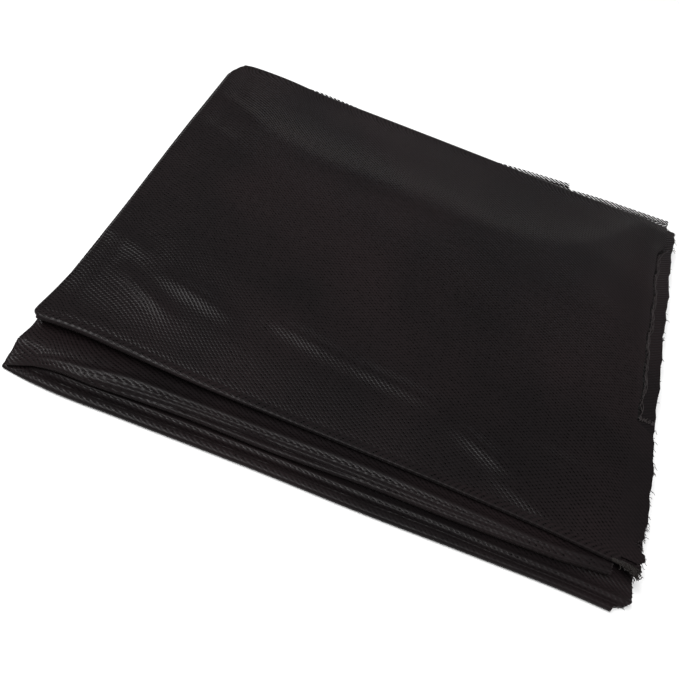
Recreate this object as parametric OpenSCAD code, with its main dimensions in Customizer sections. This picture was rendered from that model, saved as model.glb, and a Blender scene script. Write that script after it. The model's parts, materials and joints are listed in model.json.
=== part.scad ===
// Tennis net, folded into a flat packet.
// The cloth is doubled side to side, so that every leaf has two plies joined by a bend at the left.
// The doubled cloth is then folded in a zigzag of five leaves, from the bottom leaf to the top flap.
// Origin: centre of the underside. +X runs along the front folds, +Y to the back, +Z up.

/* [Net] */
// Height of the opened net, measured across the five leaves
net_height = 1070; // [900:5:1200]
// Width of the packet, which is half the length of the doubled cloth
packet_width = 258; // [200:1:320]
// Thickness of one ply of the knitted mesh
ply_thickness = 0.5; // [0.4:0.05:0.6]
// Distance from one ply to the next in the stack
ply_pitch = 1.1; // [1:0.05:1.4]

/* [Folds] */
// How far the upper front fold lies behind the lower front fold
front_fold_step = 8.5; // [4:0.5:15]
// How far the free edge of the top leaf lies behind the lower front fold
flap_step = 21; // [16:0.5:40]
// How far the bottom leaf reaches out behind the back folds
back_overhang = 18; // [10:0.5:30]
// Clearance between two leaves end to end when a fold is opened flat
fold_clearance = 0.3; // [0.2:0.05:0.6]

/* [Edges] */
// Width of the dense knitted selvedge along both free edges
selvedge_width = 3; // [2:0.5:5]
// Thickness of the selvedge
selvedge_thickness = 0.7; // [0.5:0.05:0.8]
// How much shorter the second half of the cloth is at the cut ends
cut_offset = 9; // [4:0.5:15]
// How much further in the short half's selvedge ends along the back edge
back_cut_offset = 59; // [20:1:80]
// How far the top leaf lies inside the lower leaves at the left
top_leaf_inset = 1.8; // [0:0.1:4]
// Length of the frayed selvedge stub at the top leaf's front right corner
tail_length = 9; // [5:0.5:9]

/* [Hidden] */
$fn = 48;
mesh_black = [0.13, 0.115, 0.12];
selvedge_black = [0.17, 0.155, 0.15];
fold_black = [0.2, 0.185, 0.185];
fray_black = [0.1, 0.09, 0.09];

leaf_count = 5;
fold_count = leaf_count - 1;
inner_radius = ply_pitch / 2;
outer_radius = inner_radius + ply_pitch;
fold_reach = outer_radius + ply_thickness / 2;
bend_reach = inner_radius + ply_thickness / 2;

// The opened net is five leaves and the cloth in four folds, so the leaf length follows from its height
cloth_in_fold = PI * (inner_radius + outer_radius) / 2;
step_total = 2 * front_fold_step + flap_step - back_overhang;
leaf_length = (net_height - fold_count * cloth_in_fold + step_total) / leaf_count;
packet_depth = fold_reach + leaf_length + back_overhang;

lower_front_y = fold_reach - packet_depth / 2;
upper_front_y = lower_front_y + front_fold_step;
flap_front_y = lower_front_y + flap_step;
back_fold_y = lower_front_y + leaf_length;
back_edge_y = packet_depth / 2;

half_width = packet_width / 2;
LOWER = 0;
UPPER = 1;

// Leaves are counted from the bottom, and plies too, two to a leaf
function ply_index(leaf, side) = 2 * leaf + side;
function ply_bottom(leaf, side) = ply_index(leaf, side) * ply_pitch;

// The half of the cloth that lies outside at one fold lies inside at the next
function in_short_half(leaf, side) = let (turn = ply_index(leaf, side) % 4) turn == 1 || turn == 2;
function cut_end_x(leaf, side) = half_width - (in_short_half(leaf, side) ? cut_offset : 0);
function left_x(leaf) = -half_width + (leaf == leaf_count - 1 ? top_leaf_inset : 0);

function leaf_front(leaf) =
    leaf == 0 || leaf == 1 ? lower_front_y + fold_clearance / 2 :
    leaf == 2 || leaf == 3 ? upper_front_y + fold_clearance / 2 :
    flap_front_y;
function leaf_back(leaf) = leaf == 0 ? back_edge_y : back_fold_y - fold_clearance / 2;

// Fold n joins leaf n to the leaf above it: even folds are at the front, odd ones at the back
function at_front(fold) = fold % 2 == 0;
function fold_y(fold) = at_front(fold) ? (fold == 0 ? lower_front_y : upper_front_y) : back_fold_y;
function fold_z(fold) = (2 * fold + 1.5) * ply_pitch + ply_thickness / 2;

// A flat strip of cloth from one corner to the other, resting at height z
module strip(x0, x1, y0, y1, z, thickness) {
    translate([x0, y0, z])
        cube([x1 - x0, y1 - y0, thickness]);
}

// One ply of a leaf, less any selvedge that is its own piece
module ply(leaf, side) {
    front_band = leaf == leaf_count - 1 ? selvedge_width : 0;
    back_band = leaf == 0 ? selvedge_width : 0;
    color(mesh_black)
        strip(left_x(leaf) + bend_reach, cut_end_x(leaf, side),
              leaf_front(leaf) + front_band, leaf_back(leaf) - back_band,
              ply_bottom(leaf, side), ply_thickness);
}

// The bend at the left that joins a leaf's two plies
module left_bend(leaf) {
    length = leaf_back(leaf) - leaf_front(leaf);
    color(fold_black)
        translate([left_x(leaf) + bend_reach, leaf_back(leaf), ply_bottom(leaf, UPPER) - inner_radius
                   + ply_thickness / 2])
            rotate([90, 0, 0])
                linear_extrude(length)
                    bend_section();
}

// Half ring that opens to the right, with the two plies' ends on the Y axis
module bend_section() {
    difference() {
        circle(inner_radius + ply_thickness / 2);
        circle(inner_radius - ply_thickness / 2);
        translate([0, -ply_pitch])
            square(2 * ply_pitch);
    }
}

// A selvedge lies centred on the ply that it edges
module selvedge(leaf, side, x0, x1, y) {
    color(selvedge_black)
        strip(x0, x1, y, y + selvedge_width,
              max(0, ply_bottom(leaf, side) - (selvedge_thickness - ply_thickness) / 2),
              selvedge_thickness);
}

module back_selvedge(side) {
    end_x = half_width - (side == UPPER ? back_cut_offset : 0);
    selvedge(0, side, left_x(0) + bend_reach, end_x, back_edge_y - selvedge_width);
}

module front_selvedge(side) {
    leaf = leaf_count - 1;
    selvedge(leaf, side, left_x(leaf) + bend_reach, cut_end_x(leaf, side), flap_front_y);
}

// The stub of selvedge that is left where the mesh has frayed away from the cut end
module frayed_selvedge_tail() {
    leaf = leaf_count - 1;
    start_x = cut_end_x(leaf, UPPER);
    taper = 0.6 * selvedge_width;
    color(fray_black)
        translate([start_x, flap_front_y, ply_bottom(leaf, UPPER)])
            linear_extrude(ply_thickness)
                polygon([
                    [0, 0],
                    [tail_length - taper, 0],
                    [tail_length, taper],
                    [0.7 * tail_length, selvedge_width],
                    [0, selvedge_width]
                ]);
}

// Sweeps the child profile half way round the fold's line, on the side away from the leaves
module around_fold(fold) {
    translate([0, fold_y(fold), fold_z(fold)])
        rotate([0, 90, 0])
            rotate([0, 0, at_front(fold) ? 180 : 0])
                rotate_extrude(angle = 180)
                    children();
}

// One ply's turn round a fold: its profile runs along the fold's line at the ply's radius
module ply_turn(fold, radius, end_x) {
    start_x = left_x(fold + 1) + bend_reach;
    around_fold(fold)
        translate([radius - ply_thickness / 2, start_x])
            square([ply_thickness, end_x - start_x]);
}

// The left bend's turn round a fold
module bend_turn(fold) {
    around_fold(fold)
        translate([ply_pitch, left_x(fold + 1) + bend_reach])
            rotate(90)
                bend_section();
}

module fold_outer(fold) {
    color(fold_black) {
        ply_turn(fold, outer_radius, cut_end_x(fold, LOWER));
        bend_turn(fold);
    }
}

module fold_inner(fold) {
    color(mesh_black)
        ply_turn(fold, inner_radius, cut_end_x(fold, UPPER));
}

ply(0, LOWER);  // bottom_leaf_lower_ply
ply(0, UPPER);  // bottom_leaf_upper_ply
left_bend(0);  // bottom_leaf_left_bend
back_selvedge(LOWER);  // back_selvedge_lower
back_selvedge(UPPER);  // back_selvedge_upper
ply(1, LOWER);  // fourth_leaf_lower_ply
ply(1, UPPER);  // fourth_leaf_upper_ply
left_bend(1);  // fourth_leaf_left_bend
ply(2, LOWER);  // third_leaf_lower_ply
ply(2, UPPER);  // third_leaf_upper_ply
left_bend(2);  // third_leaf_left_bend
ply(3, LOWER);  // second_leaf_lower_ply
ply(3, UPPER);  // second_leaf_upper_ply
left_bend(3);  // second_leaf_left_bend
ply(4, LOWER);  // top_leaf_lower_ply
ply(4, UPPER);  // top_leaf_upper_ply
left_bend(4);  // top_leaf_left_bend
front_selvedge(LOWER);  // front_selvedge_lower
front_selvedge(UPPER);  // front_selvedge_upper
frayed_selvedge_tail();
fold_outer(0);  // lower_front_fold_outer
fold_inner(0);  // lower_front_fold_inner
fold_outer(1);  // lower_back_fold_outer
fold_inner(1);  // lower_back_fold_inner
fold_outer(2);  // upper_front_fold_outer
fold_inner(2);  // upper_front_fold_inner
fold_outer(3);  // upper_back_fold_outer
fold_inner(3);  // upper_back_fold_inner
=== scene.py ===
"""A tennis net of fine black mesh, doubled side to side and folded in a zigzag of five leaves.

Every ply of every leaf is one closed sheet, which carries its half of the bend at the left and its turn
round the fold to the next leaf. Places come from the CAD frame. Shapes are worked out in millimetres.
Plies are counted from the bottom, two to a leaf. Fold n joins leaf n to the leaf above it.
"""

import json
import math

import bpy
import numpy as np
from mathutils import Matrix, Vector


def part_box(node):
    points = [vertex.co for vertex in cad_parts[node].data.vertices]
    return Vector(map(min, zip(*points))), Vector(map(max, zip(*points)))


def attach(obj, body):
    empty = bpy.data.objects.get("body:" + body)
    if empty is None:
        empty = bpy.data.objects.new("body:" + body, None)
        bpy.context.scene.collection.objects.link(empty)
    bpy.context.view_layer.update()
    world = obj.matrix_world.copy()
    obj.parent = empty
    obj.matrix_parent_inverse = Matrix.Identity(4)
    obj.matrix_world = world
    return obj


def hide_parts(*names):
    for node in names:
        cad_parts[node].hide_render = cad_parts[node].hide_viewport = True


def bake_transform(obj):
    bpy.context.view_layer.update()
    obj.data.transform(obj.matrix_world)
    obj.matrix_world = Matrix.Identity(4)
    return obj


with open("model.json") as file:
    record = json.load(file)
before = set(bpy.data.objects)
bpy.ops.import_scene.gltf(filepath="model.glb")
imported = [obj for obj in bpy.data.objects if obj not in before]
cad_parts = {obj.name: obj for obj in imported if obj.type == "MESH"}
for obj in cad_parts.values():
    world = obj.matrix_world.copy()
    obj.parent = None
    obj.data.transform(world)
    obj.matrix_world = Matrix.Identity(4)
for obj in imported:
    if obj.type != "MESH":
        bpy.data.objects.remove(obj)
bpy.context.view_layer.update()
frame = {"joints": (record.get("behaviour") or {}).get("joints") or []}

MM = 0.001
LEAVES = ["bottom_leaf", "fourth_leaf", "third_leaf", "second_leaf", "top_leaf"]
FOLDS = ["lower_front_fold", "lower_back_fold", "upper_front_fold", "upper_back_fold"]
SIDES = ["lower", "upper"]
LOWER = 0
TOP = len(LEAVES) - 1
TOP_PLY = 2 * len(LEAVES) - 1
random = np.random.default_rng(7)


# ---------------------------------------------------------------- sizes taken from the frame

def box_mm(node):
    """The lowest and highest corners of a CAD node, in millimetres."""
    low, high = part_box(node)
    return np.array(low) / MM, np.array(high) / MM


def ply_node(ply):
    return f"{LEAVES[ply // 2]}_{SIDES[ply % 2]}_ply"


PLY_BOX = [box_mm(ply_node(ply)) for ply in range(2 * len(LEAVES))]
PLY_Z = [(low[2] + high[2]) / 2 for low, high in PLY_BOX]
CUT_X = [high[0] for low, high in PLY_BOX]
LEFT_X = [box_mm(leaf + "_left_bend")[0][0] for leaf in LEAVES]
AXES = {joint["name"]: np.array(joint["pos_m"]) / MM for joint in frame["joints"]}
FOLD_Y = [AXES[fold + "_open"][1] for fold in FOLDS]
BACK_EDGE_Y = box_mm("back_selvedge_lower")[1][1]
FLAP_Y = box_mm("front_selvedge_upper")[0][1]
SELVEDGE_WIDTH = box_mm("front_selvedge_upper")[1][1] - FLAP_Y
RIGHT_X = CUT_X[0]
BACK_Y = FOLD_Y[1]

# ---------------------------------------------------------------- how the cloth lies, in millimetres

CLOTH_THICKNESS = 0.32
BACK_BAND_THICKNESS = 0.2
FRONT_BAND_THICKNESS = 0.4
# Least distance between the middles of two plies that press on each other
PRESSED = 0.4
# How far a leaf's bend at the left stands out past its flat plies
BEND_REACH = 1.3
# How far the loosely stacked plies stand up in the middle of the packet, from the bottom ply to the top one
LOFT = [0, 0, 0.1, 0.2, 0.35, 0.45, 0.6, 0.75, 1.7, 2.3]
# Slope of the top of the packet just behind its shoulder, how far back the slope reaches, how softly it
# starts, and the most that it may sink below a packet with no loft
SHOULDER_FALL = 0.175
SLOPE_DEPTH = 16
SHOULDER_ROUND = 0.8
MOST_SUNK = 0.8
# The mesh repeats every HOLE_STEP_X across and HOLE_STEP_Y along the cloth, with a second hole in the middle
HOLE_STEP_X = 2.8
HOLE_STEP_Y = 1.68
# The pattern is a wave from -1 to 1, and a hole lies where it is above the edge. OPEN_HOLE is the edge where
# the mesh is drawn wide open. The slant leans the holes, and the warp moves them off their straight rows.
OPEN_HOLE = 0.05
MESH_HOLE = 0.84
BAND_HOLE = 0.95
HOLE_SLANT = -0.5
HOLE_WARP = 2.4
# How far a ply of mesh runs in under its selvedge
SEAM = 0.6
# How far the mesh is drawn wide open along the free edge behind the packet
OPEN_EDGE = 13
# Distance along the cloth from its bend at the left to where the mesh is drawn tight along the raw ends
DENSE_END = 245.5
# Where the top ply's raw end steps out to the right, and where its loose yarns end at the back
STEP_Y = -31
LOOSE_END_Y = 83
# Where the plies of the upper front fold end at the front right corner
ROLL_END_X = 118.4


def smooth(t):
    """0 up to t = 0, 1 from t = 1 on, and a smooth step between them."""
    t = np.clip(t, 0, 1)
    return t * t * (3 - 2 * t)


def bell(value, centre, width):
    """1 at the centre, and close to 0 from about twice the width away."""
    return np.exp(-(((value - centre) / width) ** 2))


def curve(x, *points):
    """A smooth curve through a few points, each given as (x, value)."""
    at, value = np.array(points, float).T
    slope = np.gradient(value, at)
    x = np.clip(x, at[0], at[-1])
    i = np.clip(np.searchsorted(at, x, side="right") - 1, 0, len(at) - 2)
    step = at[i + 1] - at[i]
    t = (x - at[i]) / step
    start = (1 + 2 * t) * (1 - t) ** 2 * value[i] + t * (1 - t) ** 2 * step * slope[i]
    return start + t * t * (3 - 2 * t) * value[i + 1] - t * t * (1 - t) * step * slope[i + 1]


def ridge(x, y, start, end, width, height):
    """A soft wrinkle along the line from start to end, which dies away at both ends."""
    start, end = np.array(start), np.array(end)
    along = (end - start) / np.linalg.norm(end - start)
    reach = (x - start[0]) * along[0] + (y - start[1]) * along[1]
    aside = (y - start[1]) * along[0] - (x - start[0]) * along[1]
    share = np.clip(reach / np.linalg.norm(end - start), 0, 1)
    return height * np.sin(math.pi * share) * bell(aside, 0, width)


def at_front(fold):
    return fold % 2 == 0


def in_short_half(ply):
    """The half of the cloth that lies outside at one fold lies inside at the next."""
    return ply % 4 in (1, 2)


def is_last(leaf):
    return leaf == TOP


def is_outer(below, above):
    """Whether the ply that joins these two lies outside at their fold."""
    return above - below > 2


# Lines along the front, from left to right. Each gives a place along Y for a place along X.

def rim_line(x):
    """Where the lower front fold's turn starts: ahead of its axis at the left, and behind it at the right."""
    return FOLD_Y[0] + curve(x, (-131, -1.4), (-120, -2.7), (-110, -3.2), (-80, -2.5), (-20, -0.9),
                             (20, -0.5), (70, 1.0), (104, 1.7), (129, 1.2))


def tip_line(x):
    """The foremost line of the upper front fold's roll."""
    return FOLD_Y[2] + curve(x, (-131, -11.4), (-125, -9.4), (-118, -7.7), (-110, -6.6), (-95, -6.2),
                             (-80, -5.0), (-60, -3.8), (-20, -3.2), (20, -1.3), (60, -0.6), (85, 0.2),
                             (100, 1.0), (112, 2.4), (128, 4.2))


def lip_line(x):
    """The front shoulder of the upper front fold."""
    return FOLD_Y[2] + curve(x, (-131, -10.4), (-120, -7.8), (-105, -5.4), (-90, -3.6), (-60, -1.0),
                             (-20, 0.3), (20, 1.1), (60, 1.3), (100, 2.4), (112, 3.8), (128, 5.6))


def crest_line(x):
    """The soft crest behind the upper front fold's shoulder."""
    return FOLD_Y[2] + curve(x, (-130, -8.0), (-120, -6.0), (-110, -4.0), (-98, -2.0), (-85, 0.8),
                             (-60, 2.1), (-20, 3.3), (20, 4.7), (60, 4.1), (100, 4.3), (112, 5.6), (128, 7.4))


def flap_line(x):
    """The free edge of the top leaf."""
    return FLAP_Y + curve(x, (-129, -2.4), (-112, -1.3), (-90, -1.9), (-60, -2.9), (0, -2.6), (40, -2.6),
                          (90, -3.6), (129, -5.4))


def back_edge(ply, x):
    """Where the bottom leaf's free edge lies: it comes out behind the stack towards the right."""
    if ply == LOWER:
        return BACK_EDGE_Y + curve(x, (-129, -12.5), (0, -12.5), (50, -9.5), (75, -4.0), (128, 0.3))
    return BACK_EDGE_Y + curve(x, (-129, -9.5), (-105, -9.0), (-88, -6.2), (-50, -7.0), (-14, -9.0),
                               (20, -7.5), (50, -3.6), (72, -1.2))


def left_share(x):
    """1 at the left end and 0 from the middle on."""
    return smooth((10 - x) / 120)


def shoulder_line(x):
    """Where the top of the packet starts to fall towards the back folds."""
    return curve(x, (-118, 92), (-105, 67), (-73, 52), (-35, 52), (0, 54), (49, 52), (72, 58), (90, 71),
                 (109, 95))


def loft(ply, x, y):
    """How far the ply stands up above a tight stack: most in the middle, less behind the shoulder."""
    across = smooth((x - LEFT_X[0]) / 40) * smooth((RIGHT_X + 6 - x) / 45)
    past = (y - shoulder_line(x)) / SHOULDER_ROUND
    past = SHOULDER_ROUND * np.where(past > 20, past, np.log1p(np.exp(np.minimum(past, 20))))
    fall = SHOULDER_FALL * SLOPE_DEPTH * np.tanh(past / SLOPE_DEPTH) * smooth((x + 120) / 50)
    rise = LOFT[ply] * across * smooth((y - FLAP_Y + 12) / 35) - fall * LOFT[ply] / LOFT[TOP_PLY]
    return np.maximum(rise, -MOST_SUNK * LOFT[ply] / LOFT[TOP_PLY])


# The long soft wrinkles: where each starts and ends, how wide it is and how high
RIDGES = [
    ((-132, -39), (-100, -50), 3.6, 0.75),
    ((-114, -59), (-78, -76), 3.6, 1.0),
    ((-98, -55), (-54, -64), 4, 1.15),
    ((-46, -56), (-6, -62), 4, 1.1),
    ((-18, -61), (44, -66), 4, 1.1),
    ((40, -70), (80, -85), 4, 1.0),
    ((62, -86), (98, -96), 3.4, 0.75),
    ((72, -67), (114, -69), 3.6, 0.7),
    ((-126, 71), (-92, 55), 3.5, 0.8),
    ((-130, 46), (-98, 35), 3.5, 0.8),
    ((-134, 22), (-102, 13), 3.5, 0.7),
    ((-70, 46), (70, 47), 5, 0.3),
]


def wrinkles(x, y):
    """The wrinkles that press through all plies, strongest at the top."""
    wave = 0.09 * np.sin(x / 17 + y / 41 + 0.6) + 0.07 * np.sin(x / 29 - y / 13 + 2.1)
    wave += 0.05 * np.sin(y / 5.5 + x / 24)
    return wave + sum(ridge(x, y, *line) for line in RIDGES)


def lower_creases(x, y):
    """The fourth leaf behind the lower front fold: a low rim, a crease, a ridge and a shaded dip."""
    behind = y - rim_line(x)
    crease = 3.2 - 1.2 * smooth((x - 40) / 50)
    run = smooth((x - LEFT_X[0] - 4) / 18)
    low = (-0.65 - 1.3 * smooth((-112 - x) / 18)) * (1 - smooth((behind - 7.5) / 4))
    small_ridge = 0.35 * bell(behind, crease + 0.9, 0.4)
    large_ridge = bell(behind, crease + 2.3, 1.1)
    depth = 0.9 + 0.6 * smooth((60 - x) / 60)
    return low + run * (small_ridge + large_ridge - depth * bell(behind, crease - 0.2, 0.8))


def upper_roll(x, y):
    """The second leaf behind the upper front fold: a lip, a valley and a crest, drooping at the left."""
    ahead = lip_line(x) - y
    lip = -1.1 * smooth(ahead / 1.6)
    groove = -0.6 * bell(ahead, 1.1, 0.45) * smooth((16 - x) / 14)
    valley = -0.3 * bell(ahead, -1.4, 0.8)
    crest = 1.05 * bell(y, crest_line(x) + 0.3, 1.7) * (1 - 0.6 * smooth((x - 108) / 12))
    droop = -3.6 * smooth((-102 - x) / 29) * smooth((FOLD_Y[2] + 1 - y) / 9)
    droop = droop - 1.0 * smooth((-112 - x) / 16) * smooth((FOLD_Y[2] + 16 - y) / 10)
    hollow = -(0.6 + 1.2 * left_share(x)) * bell(y, flap_line(x) + 2, 7)
    return lip + groove + valley + crest + droop + hollow


def flap_lift(ply, x, y):
    """The top leaf's free edge curls up, most at the left, and so does the upper ply's raw end."""
    curl = (0.5 + 1.7 * left_share(x)) * bell(y, flap_line(x), 11)
    if ply % 2 == LOWER:
        return 0.6 * curl
    behind = y - flap_line(x)
    rim = 0.35 * bell(behind, 0.6, 1.2) - 0.12 * bell(behind, 3.2, 1.2)
    curl = curl + (0.2 + 0.8 * left_share(x)) * rim
    open_end = smooth((y - STEP_Y + 2) / 4) * smooth((LOOSE_END_Y + 1 - y) / 6)
    return curl + 0.45 * open_end * bell(x, CUT_X[ply], 2.2)


def free_height(ply, x, y):
    """The height that the ply would have with nothing on it."""
    pressed_through = wrinkles(x, y) * (LOFT[ply] / LOFT[TOP_PLY]) * smooth((BACK_Y - y) / 12)
    height = PLY_Z[ply] + loft(ply, x, y) + pressed_through
    if ply == 3:
        height = height + lower_creases(x, y)
    if ply == 7:
        height = height + upper_roll(x, y)
    if ply == 6:
        height = height + 0.5 * bell(y, crest_line(x) + 0.3, 1.7)
    if ply >= 8:
        height = height + flap_lift(ply, x, y)
    return height


def height_of(ply, x, y):
    """The ply's height where the plies above it, as far as the next fold at the back, press it down."""
    own = free_height(ply, x, y)
    if ply in (3, 7, TOP_PLY):
        return own
    return np.minimum(own, height_of(ply + 1, x, y) - PRESSED)


def lay_depth(ply, x, y):
    """Moves a nominal place along the leaf to where the cloth really lies."""
    leaf = ply // 2
    y = y - 0.3 * corner_inset(x - LEFT_X[leaf] - 3, 9) * smooth((y - BACK_Y + 30) / 30)
    if leaf <= 1:
        pulled = np.maximum(rim_line(x) - FOLD_Y[0], 0) + (0.25 if in_short_half(ply) else 0)
        y = y + pulled * smooth((FOLD_Y[0] + 40 - y) / 40)
    if leaf in (2, 3):
        pulled = np.maximum(tip_line(x) + 1.2 - FOLD_Y[2], 0) + (0.25 if in_short_half(ply) else 0)
        y = y + pulled * smooth((FOLD_Y[2] + 40 - y) / 40)
    if leaf == 0:
        share = (y - FOLD_Y[0]) / (BACK_EDGE_Y - FOLD_Y[0])
        return y + share ** 4 * (back_edge(ply, x) - BACK_EDGE_Y)
    if is_last(leaf):
        share = (BACK_Y - y) / (BACK_Y - FLAP_Y)
        return BACK_Y + share * (flap_line(x) - BACK_Y)
    return y


def ply_surface(ply, x, y):
    """The middle of a ply's thickness at a nominal place on its leaf."""
    y = lay_depth(ply, x, y)
    return np.stack(np.broadcast_arrays(x, y, height_of(ply, x, y)), -1)


def corner_inset(distance, radius):
    """How far a side lies in at this distance from a corner that is rounded to this radius."""
    share = np.clip(1 - distance / radius, 0, 1)
    return radius * (1 - np.sqrt(1 - share ** 2))


def left_side(leaf, y):
    """Where the outside of a leaf's bend lies: in at its rounded corners, and a little wavy."""
    inset = corner_inset(BACK_Y + 2 - y, 10.5 - 0.4 * (TOP - leaf))
    if is_last(leaf):
        inset = inset - 2.4 * smooth((-50 - y) / 45) + corner_inset(y - FLAP_Y + 0.2, 3.5)
    else:
        inset = inset - 2.2 * smooth((-98 - y) / 20)
    return LEFT_X[leaf] + inset + 0.2 * np.sin(y / 19 + leaf)


def raw_end(ply, y):
    """How far a ply's raw cut end lies past its straight line: wavy, and in at the folds' corners."""
    past = 0.35 * np.sin(y / 3.1 + 2 * ply) + 0.3 * np.sin(y / 7.7 + ply) + 0.2 * np.sin(y / 1.3 + 3 * ply)
    if ply == 1:
        past = past - 50 * smooth((y - 84) / 26)
    if ply <= 3:
        past = past - 8 * smooth((FOLD_Y[0] + 4.5 - y) / 6)
    elif ply <= 7:
        past = past - (CUT_X[ply] - ROLL_END_X) * smooth((FOLD_Y[2] + 11 - y) / 6)
    if ply == TOP_PLY:
        past = past + 9.3 * smooth((STEP_Y - y) / 2.5) + 4.5 * smooth((y - 72) / 18)
        past = past - 3.6 * bell(y, -84.5, 2.2) - 3.0 * smooth((-90 - y) / 3)
    if ply == 8:
        past = past - 2.6 * bell(y, -84, 3) - 4.0 * smooth((-91 - y) / 3)
    return past


def spread(start, end, count, ends=0.72):
    """Places from start to end, closer together at both ends."""
    t = np.linspace(0, 1, count)
    return start + (end - start) * (t - ends * np.sin(2 * math.pi * t) / (2 * math.pi))


# Columns from the left side to the cut end, as shares of the ply's width
COLUMNS = spread(0, 1, 118)
# Rows along a leaf: even ones over the first FRONT_DEPTH from its front, then looser ones to its back
FRONT_DEPTH = 19
FRONT_ROWS = 60
BACK_ROWS = 70
# Rows of half a bend at the left, and of a turn round a fold
BEND_ROWS = 6
ARC_ROWS = 20
# Rows across a selvedge's band, and how many of them are still mesh
BAND_ROWS = 8
BAND_MESH_ROWS = 6


def leaf_rows(leaf):
    """Nominal places along Y of the leaf's rows, in the order of the cloth from the back selvedge."""
    start = BACK_EDGE_Y - SELVEDGE_WIDTH + SEAM if leaf == 0 else FOLD_Y[leaf - 1]
    end = FLAP_Y + SELVEDGE_WIDTH - SEAM if is_last(leaf) else FOLD_Y[leaf]
    front, back = min(start, end), max(start, end)
    near = np.linspace(front, front + FRONT_DEPTH, FRONT_ROWS)
    far = spread(front + FRONT_DEPTH, back, BACK_ROWS)
    rows = np.concatenate([near, far[1:]])
    return rows if start < end else rows[::-1]


def rows_across(leaf, ply, y, ragged=True):
    """The ply's surface along these nominal places, as rows of points from the left side to the cut end."""
    y = np.asarray(y)[:, None]
    left = left_side(leaf, y) + BEND_REACH
    x = left + (CUT_X[ply] - left) * COLUMNS
    if ragged:
        x = x + raw_end(ply, y) * COLUMNS ** (4 if ply == 1 else 20)
    return ply_surface(ply, x, y)


def nose_of(fold, outer, x):
    """How far the turn's flat runs go on past the leaf, and how far its nose stands out past them."""
    if fold == 0:
        run = np.maximum(FOLD_Y[0] - rim_line(x), 0) - (0 if outer else 0.3)
        return np.maximum(run, 0.02), np.full_like(x, 1.3 if outer else 0.5)
    if fold == 2:
        nose = 1.2 if outer else 0.5
        run = FOLD_Y[2] - tip_line(x) - nose - (0 if outer else 1.5)
        return np.maximum(run, 0.02), np.full_like(x, nose)
    bulge = (0.5 if outer else 0.3) * bell(x, -20, 70)
    return np.full_like(x, 0.02), (1.65 if outer else 0.6) + bulge


def turn_rows(fold, below, above, outer):
    """The ply's turn round a fold: out on the ply below, round the nose, and back on the ply above."""
    outwards = -1 if at_front(fold) else 1
    ends = [rows_across(leaf, ply, [FOLD_Y[fold]])[0] for leaf, ply in ((fold, below), (fold + 1, above))]
    run, nose = nose_of(fold, outer, ends[0][:, 0])
    path = []
    runs = ((below, ends[0], np.linspace(0, 1, 10)), (above, ends[1], np.linspace(1, 0, 10)))
    for ply, end, steps in runs:
        y = end[:, 1] + outwards * run * steps[:, None]
        x = np.broadcast_to(end[:, 0], y.shape)
        path.append(np.stack([x, y, height_of(ply, x, y)], -1))
    lower, upper = path
    angle = np.linspace(0, math.pi, 19)[1:-1, None]
    share = (1 - np.cos(angle)) / 2
    round_nose = lower[-1] + (upper[0] - lower[-1]) * share[..., None]
    round_nose[..., 1] += outwards * nose * np.sin(angle)
    path = np.concatenate([lower, round_nose, upper])
    walked = lengths(path, 0)
    rows = np.empty((ARC_ROWS, *ends[0].shape))
    for column in range(path.shape[1]):
        places = np.linspace(0, walked[-1, column], ARC_ROWS + 1)[1:]
        for axis in range(3):
            rows[:, column, axis] = np.interp(places, walked[:, column], path[:, column, axis])
    rows[-1] = ends[1]
    return rows


def ply_in_half(leaf, short):
    """Which of a leaf's two plies belongs to the short or the long half of the cloth."""
    return next(ply for ply in (2 * leaf, 2 * leaf + 1) if in_short_half(ply) == short)


def mesh_rows(leaf, short):
    """One half of the leaf and of its fold, without the bend."""
    below = ply_in_half(leaf, short)
    flat = rows_across(leaf, below, leaf_rows(leaf))
    if is_last(leaf):
        return flat
    above = ply_in_half(leaf + 1, short)
    return np.concatenate([flat, turn_rows(leaf, below, above, is_outer(below, above))])


def selvedge_rows(leaf, short):
    """One half of a free edge: a band that ends in a small rolled rim, thicker on the top ply."""
    ply = ply_in_half(leaf, short)
    edge, inwards = (FLAP_Y, 1) if is_last(leaf) else (BACK_EDGE_Y, -1)
    across_band = edge + inwards * SELVEDGE_WIDTH * np.linspace(1, 0, BAND_ROWS)
    flat = rows_across(leaf, ply, across_band, ragged=leaf == 0)
    radius = 0.2 + (0.15 + 0.75 * left_share(flat[-1, :, 0]) if ply == TOP_PLY else 0)
    angle = np.linspace(0, 3.0, 9)[1:, None]
    rim = np.repeat(flat[-1:], len(angle), 0)
    rim[..., 1] -= inwards * radius * np.sin(angle)
    rim[..., 2] += inwards * -radius * (1 - np.cos(angle))
    return np.concatenate([flat, rim])


def with_bend(own, other):
    """Adds this half's part of the bend at the left, which meets the other half's part."""
    middle = (own[:, :1] + other[:, :1]) / 2
    turn = np.linspace(0, math.pi / 2, BEND_ROWS)[None, :-1, None]
    bend = middle + (own[:, :1] - middle) * np.sin(turn)
    bend[..., 0] = own[:, :1, 0] - BEND_REACH * np.cos(turn[..., 0])
    return np.concatenate([bend, own], 1)


# ---------------------------------------------------------------- meshes

def mesh_object(name, points, faces, uvs=None, sharp=50):
    """An object from points in millimetres, smooth except where faces meet at more than the sharp angle."""
    mesh = bpy.data.meshes.new(name)
    mesh.from_pydata((np.asarray(points) * MM).tolist(), [], faces)
    if uvs is not None:
        layer = mesh.uv_layers.new(name="cloth")
        corners = np.zeros(len(mesh.loops), np.int32)
        mesh.loops.foreach_get("vertex_index", corners)
        layer.data.foreach_set("uv", np.asarray(uvs)[corners].astype(np.float32).ravel())
    mesh.shade_smooth()
    mesh.set_sharp_from_angle(angle=math.radians(sharp))
    mesh.update()
    made = bpy.data.objects.new(name, mesh)
    bpy.context.scene.collection.objects.link(made)
    return made


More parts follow.
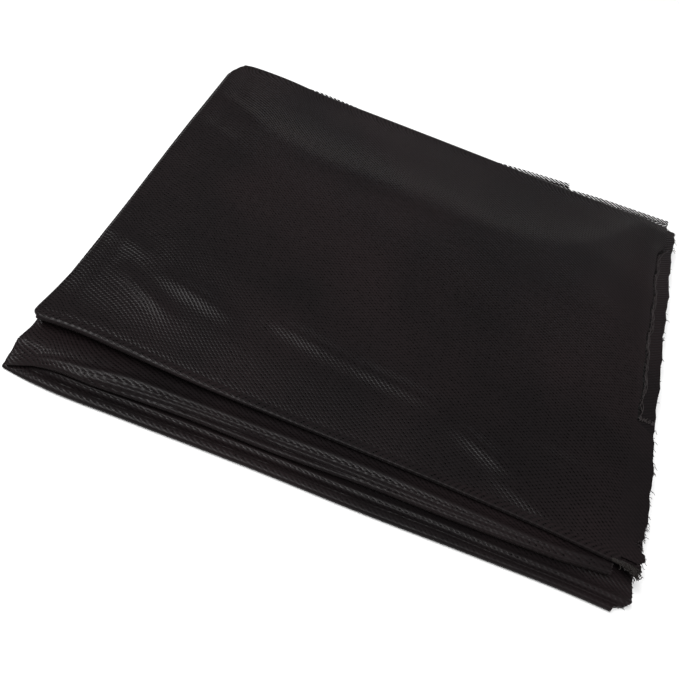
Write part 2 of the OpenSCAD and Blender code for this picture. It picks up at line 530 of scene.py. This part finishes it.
def grid_faces(rows, columns, first=0, turned=False):
    """Quads between the points of a grid, whose own first point has this index."""
    faces = []
    for r in range(rows - 1):
        for c in range(columns - 1):
            a = first + r * columns + c
            quad = (a, a + 1, a + columns + 1, a + columns)
            faces.append(quad[::-1] if turned else quad)
    return faces


def rim_faces(rows, columns):
    """Quads that join the two skins of a sheet all round its edge."""
    count = rows * columns
    ring = list(range(columns))
    ring += [r * columns + columns - 1 for r in range(1, rows)]
    ring += [(rows - 1) * columns + c for c in range(columns - 2, -1, -1)]
    ring += [r * columns for r in range(rows - 2, 0, -1)]
    return [(a, a + count, b + count, b) for a, b in zip(ring, ring[1:] + ring[:1])]


def lengths(points, axis):
    """Distance along the rows or columns of a grid of points, from its first one."""
    steps = np.linalg.norm(np.diff(points, axis=axis), axis=-1)
    zero = np.zeros_like(np.take(steps, [0], axis=axis))
    return np.concatenate([zero, np.cumsum(steps, axis=axis)], axis)


def normals_of(grid):
    """The direction square to the cloth at each point of a grid."""
    normal = np.cross(np.gradient(grid, axis=1), np.gradient(grid, axis=0))
    return normal / np.maximum(np.linalg.norm(normal, axis=-1, keepdims=True), 1e-9)


def tightness(grid):
    """How tightly the cloth turns at each point: 0 in soft waves, 1 round a sharp bend."""
    turn = np.linalg.norm(np.gradient(normals_of(grid), axis=0), axis=-1)
    step = np.linalg.norm(np.gradient(grid, axis=0), axis=-1)
    return smooth(turn / np.maximum(step, 0.05) / 0.45 - 0.3)


def sheet_object(name, grid, start_length, side, thickness=CLOTH_THICKNESS):
    """A closed sheet of cloth round a grid of points, with a UV map of the flat cloth in metres.

    Returns the sheet, and the length of cloth at its last row for the sheet that goes on from there.
    """
    rows, columns = grid.shape[:2]
    offset = normals_of(grid) * thickness / 2
    points = np.concatenate([(grid + offset).reshape(-1, 3), (grid - offset).reshape(-1, 3)])
    across = side * lengths(grid, 1)
    along = start_length + lengths(grid[..., 1:], 0)
    uv = np.stack([across, along], -1).reshape(-1, 2) * MM
    faces = grid_faces(rows, columns) + grid_faces(rows, columns, rows * columns, True)
    faces += rim_faces(rows, columns)
    made = mesh_object(name, points, faces, np.concatenate([uv, uv]))
    tight = tightness(grid).ravel()
    layer = made.data.attributes.new("tight", "FLOAT", "POINT")
    layer.data.foreach_set("value", np.concatenate([tight, tight]).astype(np.float32))
    return made, along[-1:]


def tube(path, radius, sides=5):
    """Points and faces of a round yarn that follows a path and tapers to closed ends."""
    path = np.asarray(path, float)
    along = np.gradient(path, axis=0)
    along /= np.maximum(np.linalg.norm(along, axis=1, keepdims=True), 1e-9)
    first = np.cross(along, (0.13, 0.21, 0.97))
    first /= np.maximum(np.linalg.norm(first, axis=1, keepdims=True), 1e-9)
    second = np.cross(along, first)
    turn = np.linspace(0, 2 * math.pi, sides, endpoint=False)[:, None]
    taper = np.minimum(1, 0.45 + np.minimum(np.arange(len(path)), np.arange(len(path))[::-1]) * 0.4)
    ring = np.cos(turn)[None] * first[:, None] + np.sin(turn)[None] * second[:, None]
    points = (path[:, None] + radius * taper[:, None, None] * ring).reshape(-1, 3)
    faces = [tuple(range(sides))[::-1], tuple(range(len(points) - sides, len(points)))]
    for r in range(len(path) - 1):
        for c in range(sides):
            a, b = r * sides + c, r * sides + (c + 1) % sides
            faces.append((a, b, b + sides, a + sides))
    return points, faces


def yarns_object(name, paths, radius):
    """One object that holds a round yarn along each path."""
    points, faces, count = [], [], 0
    for path in paths:
        more, its_faces = tube(path, radius)
        points.append(more)
        faces += [tuple(v + count for v in face) for face in its_faces]
        count += len(more)
    return mesh_object(name, np.concatenate(points), faces, sharp=80)


# ---------------------------------------------------------------- materials

class Nodes:
    """A short way to write a material's node tree."""

    def __init__(self, name):
        self.material = bpy.data.materials.new(name)
        self.material.use_nodes = True
        self.tree = self.material.node_tree
        self.tree.nodes.clear()

    def add(self, kind, inputs=(), **settings):
        node = self.tree.nodes.new("ShaderNode" + kind)
        for key, value in settings.items():
            setattr(node, key, value)
        for key, value in dict(inputs).items():
            if isinstance(value, bpy.types.NodeSocket):
                self.tree.links.new(value, node.inputs[key])
            else:
                node.inputs[key].default_value = value
        return node

    def math(self, operation, *values):
        return self.add("Math", enumerate(values), operation=operation).outputs[0]

    def step(self, value, low, high):
        """0 below low, 1 above high, smooth between them."""
        inputs = {"Value": value, "From Min": low, "From Max": high}
        return self.add("MapRange", inputs, interpolation_type="SMOOTHSTEP").outputs[0]

    def noise(self, vector, scale, detail=2.0):
        inputs = {"Vector": vector, "Scale": scale, "Detail": detail}
        return self.add("TexNoise", inputs)


def net_material(name, colour, hole_edge):
    """Knitted mesh: staggered holes, raised yarns between them, and yarn colour that varies a little at
    random, with painted shade round the holes and a painted highlight where the yarns cross.

    The holes lie where a wave pattern is above hole_edge, or above OPEN_HOLE along the free edge behind.
    The pattern fades where the cloth is drawn tight round a sharp bend.
    """
    n = Nodes(name)
    uv = n.add("UVMap", uv_map="cloth").outputs["UV"]
    drift = n.noise(uv, 45.0, 1.0).outputs["Color"]
    centred = n.add("VectorMath", {0: drift, 1: (0.5, 0.5, 0.5)}, operation="SUBTRACT").outputs[0]
    moved = n.add("VectorMath", {0: centred, 3: HOLE_WARP * MM}, operation="SCALE").outputs[0]
    place = n.add("VectorMath", {0: uv, 1: moved}, operation="ADD").outputs[0]
    xyz = n.add("SeparateXYZ", {0: place})
    turn_x = n.math("MULTIPLY", xyz.outputs[0], 2 * math.pi / (HOLE_STEP_X * MM))
    turn_y = n.math("MULTIPLY", xyz.outputs[1], 2 * math.pi / (HOLE_STEP_Y * MM))
    wave = n.math("MULTIPLY", n.math("COSINE", turn_x), n.math("COSINE", turn_y))
    slant = n.math("MULTIPLY", n.math("SINE", turn_x), n.math("SINE", turn_y))
    mesh = n.math("MULTIPLY_ADD", slant, HOLE_SLANT, wave)
    uneven = n.noise(uv, 420.0, 2.0).outputs["Fac"]
    mesh = n.math("MULTIPLY_ADD", n.math("SUBTRACT", uneven, 0.5), 1.1, mesh)
    tight = n.add("Attribute", attribute_name="tight").outputs["Fac"]
    mesh = n.math("MULTIPLY", mesh, n.math("MULTIPLY_ADD", tight, -0.6, 1.0))
    closed = n.step(xyz.outputs[1], 0.7 * OPEN_EDGE * MM, OPEN_EDGE * MM)
    edge = n.math("MULTIPLY_ADD", closed, hole_edge - OPEN_HOLE, OPEN_HOLE)
    raw = n.math("GREATER_THAN", n.math("ABSOLUTE", xyz.outputs[0]), DENSE_END * MM)
    edge = n.math("MULTIPLY_ADD", raw, closed, edge)
    solid = n.math("LESS_THAN", mesh, edge)

    twist = n.math("SINE", n.math("MULTIPLY", xyz.outputs[1], 4 * math.pi / (HOLE_STEP_Y * MM)))
    fibre = n.noise(place, 9000.0, 2.0).outputs["Fac"]
    yarn_height = n.math("MULTIPLY_ADD", twist, 0.1, n.math("MULTIPLY", fibre, 0.06))
    height = n.math("MULTIPLY_ADD", mesh, -0.55, yarn_height)
    bump = n.add("Bump", {"Height": height, "Strength": 0.3, "Distance": 0.00028}).outputs[0]

    patch = n.noise(uv, 14.0, 3.0).outputs["Fac"]
    tone = n.math("MULTIPLY_ADD", n.step(patch, 0.3, 0.7), 0.4, n.math("MULTIPLY_ADD", fibre, 0.6, 0.6))
    # Painted shade and highlight: the colour darkens towards the holes and lightens where the yarns cross.
    tone = n.math("MULTIPLY", tone, n.math("MULTIPLY_ADD", mesh, -0.5, 1.0))
    warm = n.add("Mix", {"Factor": n.step(patch, 0.25, 0.75)}, data_type="RGBA")
    warm.inputs[6].default_value = (*colour, 1)
    warm.inputs[7].default_value = (colour[0] * 1.15, colour[1] * 0.98, colour[2] * 0.97, 1)
    shade = n.add("VectorMath", {0: warm.outputs[2], 3: tone}, operation="SCALE").outputs[0]
    rough = n.math("MULTIPLY_ADD", n.step(patch, 0.2, 0.8), 0.04, 0.2)
    rough = n.math("MULTIPLY_ADD", n.step(mesh, -0.35, 0.45), 0.2, rough)
    rough = n.math("MULTIPLY_ADD", tight, 0.11, rough)
    surface = n.add("BsdfPrincipled", {
        "Base Color": shade,
        "Roughness": rough,
        "Alpha": solid,
        "Normal": bump,
        "Specular IOR Level": 0.085,
        "Sheen Weight": 0.02,
        "Sheen Roughness": 0.4,
        "Sheen Tint": (0.8, 0.75, 0.7, 1),
    })
    n.add("OutputMaterial", {"Surface": surface.outputs[0]})
    return n.material


def yarn_material(name, colour):
    """Dense knitted yarn, for the selvedges and the frayed ends."""
    n = Nodes(name)
    place = n.add("TexCoord").outputs["Object"]
    fibre = n.noise(place, 2600.0, 3.0).outputs["Fac"]
    patch = n.noise(place, 60.0, 2.0).outputs["Fac"]
    tone = n.math("MULTIPLY_ADD", fibre, 0.9, n.math("MULTIPLY_ADD", patch, 0.7, 0.2))
    shade = n.add("VectorMath", {0: (*colour,), 3: tone}, operation="SCALE").outputs[0]
    bump = n.add("Bump", {"Height": fibre, "Strength": 0.6, "Distance": 0.0002}).outputs[0]
    surface = n.add("BsdfPrincipled", {
        "Base Color": shade,
        "Roughness": 0.45,
        "Normal": bump,
        "Specular IOR Level": 0.15,
        "Sheen Weight": 0.02,
        "Sheen Roughness": 0.5,
        "Sheen Tint": (0.75, 0.72, 0.7, 1),
    })
    n.add("OutputMaterial", {"Surface": surface.outputs[0]})
    return n.material


def plain_material(name, colour, roughness):
    """One even colour, for the studio's floor."""
    n = Nodes(name)
    surface = n.add("BsdfPrincipled", {"Base Color": (*colour, 1), "Roughness": roughness})
    n.add("OutputMaterial", {"Surface": surface.outputs[0]})
    return n.material


# ---------------------------------------------------------------- camera, floor and light

def make_camera():
    """A close view from the front, a little to the right and well above, with the camera rolled."""
    azimuth, elevation, roll = (math.radians(a) for a in (4.63, 53.72, 18.23))
    aim, distance = Vector((-0.0135, -0.0437, 0)), 0.335
    back = Vector((
        math.sin(azimuth) * math.cos(elevation),
        -math.cos(azimuth) * math.cos(elevation),
        math.sin(elevation),
    ))
    camera = bpy.data.objects.new("camera", bpy.data.cameras.new("camera"))
    bpy.context.scene.collection.objects.link(camera)
    turn = back.to_track_quat("Z", "Y").to_matrix() @ Matrix.Rotation(roll, 3, "Z")
    camera.matrix_world = Matrix.Translation(aim + back * distance) @ turn.to_4x4()
    camera.data.lens = 39.8
    camera.data.clip_start = 0.01
    bpy.context.scene.camera = camera


def area_light(name, place, aim, size, power, colour=(1, 1, 1)):
    """A softbox of this width and height that faces the point it is aimed at."""
    light = bpy.data.lights.new(name, "AREA")
    light.color = colour
    light.shape = "RECTANGLE"
    light.size, light.size_y = size
    light.energy = power
    made = bpy.data.objects.new(name, light)
    made.location = place
    made.rotation_euler = (Vector(aim) - Vector(place)).to_track_quat("-Z", "Y").to_euler()
    bpy.context.scene.collection.objects.link(made)


def make_studio():
    """A pale floor, dim white surroundings, and softboxes behind and above."""
    side = 3.0
    corners = [(-side, -side, 0), (side, -side, 0), (side, side, 0), (-side, side, 0)]
    floor = mesh_object("floor", np.array(corners) / MM, [(0, 1, 2, 3)])
    floor.data.materials.append(plain_material("pale_floor", (0.86, 0.86, 0.86), 0.9))
    world = bpy.data.worlds.new("studio")
    world.use_nodes = True
    background = world.node_tree.nodes["Background"]
    background.inputs["Color"].default_value = (1, 1, 1, 1)
    background.inputs["Strength"].default_value = 0.28
    bpy.context.scene.world = world
    bpy.context.scene.view_settings.view_transform = "Standard"
    area_light("back_softbox", (0.07, 1.3, 0.46), (0, 0, 0), (1.2, 0.26), 1.0, (1, 0.94, 0.84))
    area_light("back_strip", (0.07, 1.3, 0.63), (0, 0, 0), (1.2, 0.06), 0.55, (0.7, 0.82, 1))
    area_light("top_softbox", (-0.35, -0.3, 1.5), (-0.1, 0, 0), (2.0, 0.42), 36)


make_camera()
make_studio()

# ---------------------------------------------------------------- the cloth

BLACK = (0.0062, 0.0050, 0.0054)
net = net_material("black_mesh", BLACK, MESH_HOLE)
band_yarn = net_material("selvedge_knit", BLACK, BAND_HOLE)
fray_yarn = yarn_material("frayed_yarn", (0.020, 0.0142, 0.0152))
tail_yarn = yarn_material("tail_yarn", (0.0120, 0.0098, 0.0088))
loose_yarn = yarn_material("loose_yarn", (0.026, 0.0215, 0.0220))
# Near-black yarn as painted shade: it stands for the shadow in the gap under the top ply's raw end.
painted_shade_material = yarn_material("painted_shade_yarn", (0.0014, 0.0011, 0.0012))


def bend_with_fold(piece):
    """Bakes the piece's place into its points. It is not attached to its leaf and does not bend with the
    fold.
    """
    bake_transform(piece)


def replaced_nodes(leaf, ply, short):
    """The CAD nodes that a ply's mesh stands for: the ply, its leaf's bend, and its turn round the fold."""
    nodes = [ply_node(ply)]
    if ply % 2 == LOWER:
        nodes.append(LEAVES[leaf] + "_left_bend")
    if not is_last(leaf):
        above = ply_in_half(leaf + 1, short)
        nodes.append(f"{FOLDS[leaf]}_{'outer' if is_outer(ply, above) else 'inner'}")
    return nodes


def make_mesh_pieces():
    """The ten plies of mesh. Returns each ply's grid of points, for what is added to its edges."""
    grids = {}
    for short in (False, True):
        run = np.zeros((1, len(COLUMNS) + BEND_ROWS - 1))
        for leaf, body in enumerate(LEAVES):
            ply = ply_in_half(leaf, short)
            grid = with_bend(mesh_rows(leaf, short), mesh_rows(leaf, not short))
            grids[ply] = grid
            name = f"{body}_{SIDES[ply % 2]}_mesh"
            piece, run = sheet_object(name, grid, run, -1 if short else 1)
            piece.data.materials.append(net)
            if is_last(leaf):
                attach(piece, body)
            else:
                bend_with_fold(piece)
            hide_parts(*replaced_nodes(leaf, ply, short))
    return grids


def make_selvedges():
    """The dense bands along both free edges, two to an edge. Only the back ones are drawn wide open."""
    for leaf, place, thickness in ((0, "back", BACK_BAND_THICKNESS), (TOP, "front", FRONT_BAND_THICKNESS)):
        for short in (False, True):
            ply = ply_in_half(leaf, short)
            side = SIDES[ply % 2]
            grid = with_bend(selvedge_rows(leaf, short), selvedge_rows(leaf, not short))
            start = np.full((1, grid.shape[1]), 0 if leaf == 0 else 4 * OPEN_EDGE)
            piece, _ = sheet_object(f"{place}_selvedge_{side}_band", grid, start, 1, thickness)
            piece.data.materials.append(net)
            piece.data.materials.append(band_yarn)
            for face in piece.data.polygons:
                row = min(face.vertices) % (grid.shape[0] * grid.shape[1]) // grid.shape[1]
                face.material_index = int(row >= BAND_MESH_ROWS)
            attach(piece, LEAVES[leaf])
            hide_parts(f"{place}_selvedge_{side}")


def heading_of(turn, rise=0):
    """The way to the right, turned towards the back by this angle."""
    return np.array([math.cos(turn), math.sin(turn), rise])


def hair(start, heading, length, droop, wiggle):
    """A short loose yarn that leaves its start in a heading and sinks by droop."""
    t = np.linspace(0, 1, 8)[:, None]
    side = np.array([-heading[1], heading[0], 0])
    bend = wiggle[0] * np.sin(math.pi * t) + wiggle[1] * np.sin(2 * math.pi * t)
    path = start + heading * t * length + side * bend * length
    path[:, 2] += (0.12 * np.sin(math.pi * t) * length - droop * t ** 2)[:, 0]
    path[:, 2] = np.maximum(path[:, 2], 0.12)
    return path


def end_hairs(grid, count, longest):
    """Loose yarns along the raw cut end of a ply, most of them short."""
    hairs = []
    for row in random.choice(len(grid), count):
        heading = heading_of(random.normal(0, 0.55))
        length = 0.7 + longest * random.random() ** 3
        start = grid[row, -1] - 0.5 * heading
        hairs.append(hair(start, heading, length, 0.3 * length, random.normal(0, 0.12, 2)))
    return hairs


def loose_edge_yarns():
    """The rope of loose yarns that has come out of the top ply's raw end and lies along it."""
    yarns = []
    for strand in range(5):
        y = np.linspace(STEP_Y + 4 * strand, LOOSE_END_Y - 3 * strand, 200)
        aside = 2.0 + 0.5 * np.sin(y / 2.1 + 2.4 * strand) + 0.45 * np.sin(y / 5.9 + strand)
        x = CUT_X[TOP_PLY] + raw_end(TOP_PLY, y) + aside
        above = 0.42 + 0.22 * np.sin(y / 1.3 + 2 * strand)
        yarns.append(np.stack([x, y, height_of(TOP_PLY - 1, x, y) + above], -1))
    return yarns


def shade_painting_fringe():
    """Near-black short yarns under the top ply's raw end, which make its edge ragged: painted shade that
    stands for the shadow in the gap there.
    """
    fringe = []
    for y in np.linspace(STEP_Y + 1, LOOSE_END_Y - 1, 300):
        heading = heading_of(random.normal(0, 0.8))
        x = CUT_X[TOP_PLY] + raw_end(TOP_PLY, y) - 0.2
        start = np.array([x, y, float(height_of(TOP_PLY - 1, x, y)) + 0.42])
        fringe.append(hair(start, heading, 1.2 + 1.0 * random.random(), 0.05, random.normal(0, 0.15, 2)))
    return fringe


def step_stubs():
    """Cut yarns where the top ply's raw end steps out to the right."""
    stubs = []
    for x in np.linspace(CUT_X[TOP_PLY] + 0.5, CUT_X[TOP_PLY - 1] - 0.6, 20):
        y = STEP_Y + 0.4 + random.normal(0, 0.3)
        start = np.array([x, y, float(height_of(TOP_PLY - 1, x, y)) + 0.35])
        heading = heading_of(math.pi / 2 + random.normal(0, 0.35))
        stubs.append(hair(start, heading, 1.2 + 2.0 * random.random(), 0.1, random.normal(0, 0.12, 2)))
    return stubs


def tail_strands():
    """The knotted stub of selvedge at the top leaf's front right corner: twisted strands and short tufts."""
    strands = []
    strand_count, tuft_count, steps = 16, 45, 26
    end_x = CUT_X[TOP_PLY]
    start = np.array([end_x - 3.4, float(flap_line(end_x)) + 0.2, PLY_Z[TOP_PLY] + 0.4])
    for strand in range(strand_count):
        t = np.linspace(0, 1, steps)
        phase = 2 * math.pi * random.random()
        twist = 2 * math.pi * (strand / strand_count + 1.9 * t)
        width = 0.7 + 0.9 * t ** 2
        x = start[0] + (10.6 + 2.2 * random.random()) * t
        y = start[1] - 2.2 * t ** 2 + width * np.cos(twist) + 0.5 * np.sin(13 * t + phase) * t
        z = start[2] - 0.6 * t ** 2 + width * 0.5 * np.sin(twist) + 0.3 * np.sin(11 * t + 2 * phase) * t
        strands.append(np.stack([x, y, z], -1))
    for tuft in range(tuft_count):
        root = strands[tuft % strand_count][random.integers(9, steps)]
        heading = heading_of(random.normal(-0.2, 1.1), rise=0.1)
        strands.append(hair(root, heading, 0.8 + 1.4 * random.random(), 0.3, random.normal(0, 0.25, 2)))
    return strands


def yarn_piece(name, paths, radius, material, body):
    """A named piece of loose yarns that rides on a body."""
    piece = yarns_object(name, paths, radius)
    piece.data.materials.append(material)
    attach(piece, body)
    return piece


def make_frays(grids):
    """Loose yarns along the raw cut ends, one piece to a leaf, and the knotted stub at the corner."""
    for leaf, body in enumerate(LEAVES):
        paths = []
        count, longest = (130, 2.6) if is_last(leaf) else (60, 1.5)
        for ply in (2 * leaf, 2 * leaf + 1):
            paths += end_hairs(grids[ply], count, longest)
        yarn_piece(f"{body}_frayed_ends", paths, 0.11, fray_yarn, body)
    # Near-black yarns as painted shade in the gap under the top ply's raw end.
    yarn_piece("top_leaf_shadow_painting_yarns", shade_painting_fringe(), 0.28, painted_shade_material, LEAVES[TOP])
    yarn_piece("top_leaf_loose_yarn", loose_edge_yarns() + step_stubs(), 0.2, loose_yarn, LEAVES[TOP])
    tail = yarn_piece("frayed_tail_strands", tail_strands(), 0.2, tail_yarn, LEAVES[TOP])
    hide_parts("frayed_selvedge_tail")


GRIDS = make_mesh_pieces()
make_selvedges()
make_frays(GRIDS)
